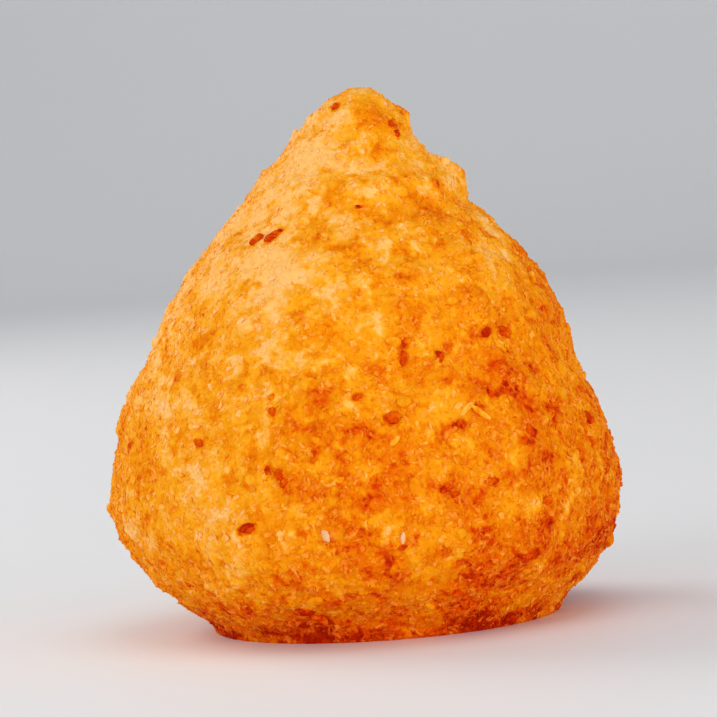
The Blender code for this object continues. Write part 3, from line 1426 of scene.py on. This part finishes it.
@dataclass
class Flecks:
    """The dark flecks, bare grains and curled flakes that stand out, each where the photograph has it.

    A dark fleck is a clump of a few bits on a stain of the crust, which the crumbs strewn there take up.
    """

    crust: bpy.types.Object
    studio: Studio
    flecks: tuple[Fleck, ...]
    finish: FriedFinish
    name: str
    bits: int = 1
    bit_share: float = 1.0
    bit_tone_swing: float = 0.0
    thickness_share: float = 0.45
    lift_share: float = 0.20
    rounding: float = 0.7
    ragged_size: float = 0.5 * MM
    ragged_depth: float = 0.10 * MM
    stain_strength: float = 0.85
    stain_core: float = 0.75
    stain_reach: float = 1.70
    seed: int = 5

    def build(self) -> bpy.types.Object:
        """Builds and dresses the flecks as one piece.

        Returns:
            The piece.
        """
        draw = np.random.default_rng(self.seed)
        whole = bmesh.new()
        fry = []
        for fleck, point, outward in self._places():
            along = self._heading(fleck, outward)
            across = outward.cross(along)
            for _ in range(self.bits):
                before = len(whole.verts)
                spread = (1.0 - self.bit_share) / 2
                aside = along * fleck.length * draw.uniform(-spread, spread)
                aside += across * fleck.width * draw.uniform(-spread, spread)
                self._add_bit(whole, fleck, point + aside, (along, across, outward), draw)
                tone = fleck.tone.value + draw.uniform(-self.bit_tone_swing, self.bit_tone_swing)
                fry += [tone] * (len(whole.verts) - before)
        piece = mesh_object(self.name, whole, smooth=True)
        keep_inside(piece.data)
        store_tones(piece.data, np.array(fry))
        dress(piece, self.finish.material())
        return piece

    def stain(self) -> None:
        """Browns the crust under each fleck, with a soft edge."""
        mesh = self.crust.data
        points = read_rows(mesh.vertices, "co", 3)
        kept = mesh.attributes[FRY_ATTRIBUTE].data
        fry = read_rows(kept, "value", 1)
        for fleck, place, outward in self._places():
            along = self._heading(fleck, outward)
            away = points - np.array(place)
            lengthwise = away @ np.array(along) / fleck.length
            crosswise = away @ np.array(outward.cross(along)) / fleck.width
            depthwise = away @ np.array(outward) / fleck.length
            reach = 2.0 * np.sqrt(lengthwise**2 + crosswise**2 + depthwise**2)
            near = np.clip((self.stain_reach - reach) / (self.stain_reach - self.stain_core), 0.0, 1.0)
            fry += (fleck.tone.value - fry) * self.stain_strength * near * near * (3.0 - 2.0 * near)
        kept.foreach_set("value", fry)

    def _places(self) -> Iterator[tuple[Fleck, Vector, Vector]]:
        """Finds where the line of sight to each fleck meets the crust.

        Yields:
            The fleck, its place, and the direction out of the crust there.
        """
        for fleck in self.flecks:
            eye, ahead = self.studio.ray(fleck.pixel)
            hit, point, outward, _ = self.crust.ray_cast(eye, ahead)
            if hit:
                yield fleck, point, outward

    def _heading(self, fleck: Fleck, outward: Vector) -> Vector:
        """Finds the direction on the crust that a fleck's length takes.

        Args:
            fleck: The fleck.
            outward: The direction out of the crust.

        Returns:
            The direction.
        """
        right, up, _ = self.studio.axes()
        heading = math.radians(fleck.heading)
        along = right * math.cos(heading) + up * math.sin(heading)
        return (along - outward * along.dot(outward)).normalized()

    def _add_bit(
        self, whole: bmesh.types.BMesh, fleck: Fleck, point: Vector, axes: tuple[Vector, Vector, Vector],
        draw: np.random.Generator,
    ) -> None:
        """Adds one bit of a fleck, which lies on the crust and is partly sunk into it.

        Args:
            whole: The bmesh of all flecks.
            fleck: The fleck.
            point: The bit's place on the crust.
            axes: The directions of its length, its width and its thickness.
            draw: The random numbers.
        """
        thickness = fleck.width * self.thickness_share
        bm = model_crumb(fleck.shape, draw)
        bmesh.ops.subdivide_edges(
            bm, edges=bm.edges[:], cuts=2, use_grid_fill=True, smooth=self.rounding
        )
        size = Vector((fleck.length * self.bit_share, fleck.width * self.bit_share, thickness))
        bmesh.ops.scale(bm, vec=size, verts=bm.verts)
        lie = Matrix(axes).transposed().to_4x4()
        centre = Matrix.Translation(point + axes[2] * thickness * self.lift_share)
        bmesh.ops.transform(bm, matrix=centre @ lie, verts=bm.verts)
        roughen(bm, self.ragged_size, self.ragged_depth)
        pour(bm, whole)


DARK_FLECKS = (
    Fleck((247.0, 529.0), 2.0 * MM, 1.1 * MM, 20.0, FleckTone.BURNT),
    Fleck((256.0, 240.0), 1.7 * MM, 1.0 * MM, 80.0),
    Fleck((273.0, 236.0), 2.5 * MM, 1.1 * MM, 60.0),
    Fleck((335.0, 107.0), 0.9 * MM, 0.8 * MM, 0.0),
    Fleck((391.0, 124.0), 1.0 * MM, 0.8 * MM, 40.0),
    Fleck((397.0, 134.0), 0.9 * MM, 0.7 * MM, 100.0),
    Fleck((359.0, 207.0), 0.7 * MM, 0.5 * MM, 0.0),
    Fleck((486.0, 332.0), 1.3 * MM, 1.0 * MM, 30.0, FleckTone.BURNT),
    Fleck((504.0, 332.0), 1.9 * MM, 1.1 * MM, -15.0, FleckTone.BURNT),
    Fleck((405.0, 343.0), 1.6 * MM, 1.1 * MM, 30.0),
    Fleck((403.0, 358.0), 1.7 * MM, 0.8 * MM, 95.0),
    Fleck((440.0, 357.0), 1.4 * MM, 0.7 * MM, 100.0),
    Fleck((131.0, 446.0), 1.2 * MM, 0.8 * MM, 10.0),
    Fleck((199.0, 443.0), 1.2 * MM, 0.7 * MM, 0.0),
    Fleck((314.0, 380.0), 0.7 * MM, 0.4 * MM, -20.0, FleckTone.BURNT),
    Fleck((268.0, 470.0), 1.4 * MM, 0.7 * MM, 60.0),
    Fleck((279.0, 474.0), 1.2 * MM, 1.0 * MM, -30.0),
    Fleck((283.0, 483.0), 1.0 * MM, 0.6 * MM, 80.0, FleckTone.REDDISH),
    Fleck((531.0, 431.0), 1.5 * MM, 1.0 * MM, -20.0),
    Fleck((588.0, 418.0), 1.6 * MM, 1.2 * MM, 90.0),
    Fleck((607.0, 415.0), 1.0 * MM, 0.8 * MM, 80.0),
    Fleck((461.0, 424.0), 1.5 * MM, 1.1 * MM, 15.0, FleckTone.REDDISH),
    Fleck((446.0, 488.0), 1.5 * MM, 0.9 * MM, 50.0, FleckTone.REDDISH),
    Fleck((455.0, 494.0), 1.1 * MM, 0.8 * MM, -20.0),
    Fleck((492.0, 482.0), 1.3 * MM, 1.0 * MM, 0.0, FleckTone.REDDISH),
    Fleck((547.0, 500.0), 1.3 * MM, 0.9 * MM, 30.0, FleckTone.REDDISH),
    Fleck((403.0, 547.0), 1.0 * MM, 0.6 * MM, 10.0),
    Fleck((345.0, 549.0), 0.9 * MM, 0.6 * MM, -10.0),
    Fleck((271.0, 398.0), 0.9 * MM, 0.7 * MM, 70.0, FleckTone.REDDISH),
    Fleck((272.0, 412.0), 1.1 * MM, 0.8 * MM, 100.0),
    Fleck((357.0, 397.0), 1.1 * MM, 0.8 * MM, 45.0, FleckTone.REDDISH),
    Fleck((392.0, 419.0), 1.8 * MM, 1.4 * MM, 30.0, FleckTone.REDDISH),
    Fleck((189.0, 583.0), 1.0 * MM, 0.8 * MM, 0.0),
    Fleck((305.0, 611.0), 2.4 * MM, 1.3 * MM, 10.0),
    Fleck((319.0, 618.0), 2.0 * MM, 1.2 * MM, -20.0),
    Fleck((460.0, 592.0), 1.6 * MM, 1.0 * MM, 10.0),
)

PALE_FLAKES = (
    Fleck((466.0, 409.0), 1.7 * MM, 0.5 * MM, 45.0, FleckTone.PALE, CrumbShape.SHRED),
    Fleck((480.0, 412.0), 2.2 * MM, 0.5 * MM, -35.0, FleckTone.PALE, CrumbShape.SHRED),
    Fleck((338.0, 480.0), 1.0 * MM, 0.5 * MM, 30.0, FleckTone.PALE, CrumbShape.FLAKE),
    Fleck((395.0, 441.0), 0.9 * MM, 0.5 * MM, 50.0, FleckTone.PALE, CrumbShape.FLAKE),
)

BARE_GRAINS = (
    Fleck((326.0, 536.5), 1.05 * MM, 0.78 * MM, -50.0, FleckTone.BARE),
    Fleck((403.0, 538.0), 1.05 * MM, 0.34 * MM, 94.0, FleckTone.BARE),
)


def main() -> None:
    """Builds the coxinha and its studio, and reports each piece."""
    logging.basicConfig(level=logging.INFO, format="%(name)s: %(message)s")
    studio = Studio()
    studio.build()
    form = DropForm()
    frying = Frying()
    crust = Crust(form, frying, FriedFinish("crust_finish")).build()
    dark = Flecks(
        crust, studio, DARK_FLECKS, FriedFinish("dark_fleck_finish"), "dark_flecks",
        bits=9, bit_share=0.42, bit_tone_swing=0.08,
    )
    pieces = [crust, dark.build()]
    dark.stain()
    # The second finish gives the pinker shades, which are partly painted sheen.
    coat = CrumbCoat(crust, FriedFinish("crumb_finish"), FriedFinish("dry_and_sheen_crumb_finish", DryAndSheenShade))
    pieces += coat.build()
    pieces.append(LargeCrumbs(form, frying, crust, FriedFinish("large_crumb_finish")).build())
    for name, flecks, finish in (
        ("pale_flakes", PALE_FLAKES, FriedFinish("pale_flake_finish")),
        ("bare_grains", BARE_GRAINS, FriedFinish("bare_grain_finish", GrainShade)),
    ):
        pieces.append(Flecks(crust, studio, flecks, finish, name).build())
    for piece in pieces:
        log.info("%s: %d faces", piece.name, len(piece.data.polygons))


if __name__ == "__main__":
    main()
